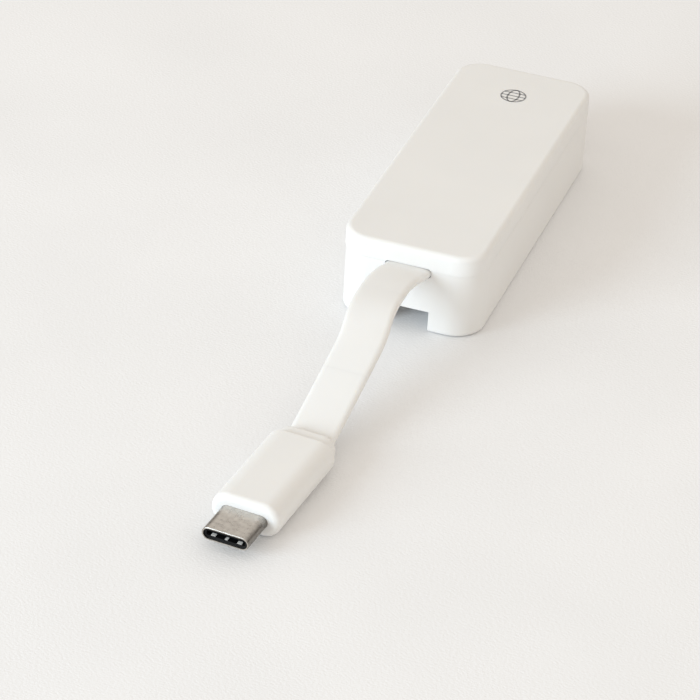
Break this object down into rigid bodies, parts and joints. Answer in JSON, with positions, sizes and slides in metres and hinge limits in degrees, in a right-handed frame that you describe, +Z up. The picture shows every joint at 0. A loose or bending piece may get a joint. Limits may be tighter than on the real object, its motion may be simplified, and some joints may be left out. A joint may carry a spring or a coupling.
{
  "type": "wired network adapter",
  "caption": "Slim rounded box with a flat folding pigtail that ends in a small reversible plug; a modular network port in the far end and a stow recess beneath.",
  "frame": {"origin": "centre of the whole adapter's footprint with the cable laid out, on the plane the housing rests on", "axes": "+Y towards the network port, -Y towards the plug, +X to the right seen from behind the port, +Z up"},
  "size_m": [0.026, 0.1472, 0.0162],
  "materials": {
    "white_shell": "fine satin moulding",
    "white_jacket": "smooth soft jacket",
    "black_moulding": "moulded, matt",
    "package_black": "moulded epoxy",
    "nickel_steel": "nickel plated, lightly brushed",
    "gold_contact": "gold flashed",
    "tin_lead": "tinned",
    "board_green": "solder mask",
    "ceramic_tan": "ceramic with tinned ends",
    "ceramic_dark": "thick film with tinned ends",
    "ferrite_grey": "sintered ferrite",
    "wire_insulation": "thin insulation",
    "lens_green": "clear tinted",
    "lens_amber": "clear tinted"
  },
  "bodies": {
    "housing": {"top_cover": "white_shell", "bottom_shell": "white_shell", "pcb": "board_green", "magnetics_body": "package_black", "magnetics_leads": "tin_lead", "ethernet_chip": "package_black", "crystal": "nickel_steel", "memory_chip": "package_black", "memory_leads": "tin_lead", "regulator": "package_black", "regulator_leads": "tin_lead", "power_inductor": "ferrite_grey", "ceramic_capacitors": "ceramic_tan", "chip_resistors": "ceramic_dark", "isolation_capacitor": "ceramic_tan", "surge_array": "package_black", "jack_housing": "black_moulding", "jack_shield": "nickel_steel", "jack_tails": "gold_contact", "link_led": "lens_green", "activity_led": "lens_amber", "cable_grommet": "white_jacket", "cable_stub": "white_jacket", "cable_wires": "wire_insulation"},
    "link_1": {"cable_link_1": "white_jacket"},
    "link_2": {"cable_link_2": "white_jacket"},
    "plug": {"plug_overmold": "white_shell", "plug_shell": "nickel_steel", "plug_insulator": "black_moulding", "plug_contacts_upper": "gold_contact", "plug_contacts_lower": "gold_contact", "plug_latch": "nickel_steel", "plug_ground_springs": "nickel_steel", "plug_inner_can": "nickel_steel", "plug_card": "board_green", "plug_card_parts": "ceramic_tan", "plug_wires": "wire_insulation", "cable_end": "white_jacket", "cable_crimp": "nickel_steel"},
    "port_contacts": {"jack_contacts": "gold_contact"}
  },
  "joints": [
    {"name": "plug_fold", "type": "hinge", "parent": "housing", "child": "link_1", "pos_m": [0, -0.00344, 0.0127], "axis": [1, -0.0052, 0.0054], "range_deg": [-11, 88]},
    {"name": "loop_fold", "type": "hinge", "parent": "link_1", "child": "link_2", "pos_m": [-0.0001, -0.01306, 0.01237], "axis": [0.9993, -0.0284, 0.0239], "range_deg": [-9.27, 73.77]},
    {"name": "tail_fold", "type": "hinge", "parent": "link_2", "child": "plug", "pos_m": [-0.0014, -0.04113, 0.00307], "axis": [0.9905, -0.0654, 0.121], "range_deg": [-2.35, 18.49]},
    {"name": "contact_press", "type": "hinge", "parent": "housing", "child": "port_contacts", "pos_m": [0, 0.07097, 0.01295], "axis": [-1, 0, 0], "range_deg": [0, 14]}
  ],
  "couplings": [
    {"joint": "loop_fold", "follows": "plug_fold", "ratio": 0.83776},
    {"joint": "tail_fold", "follows": "plug_fold", "ratio": 0.2095}
  ]
}
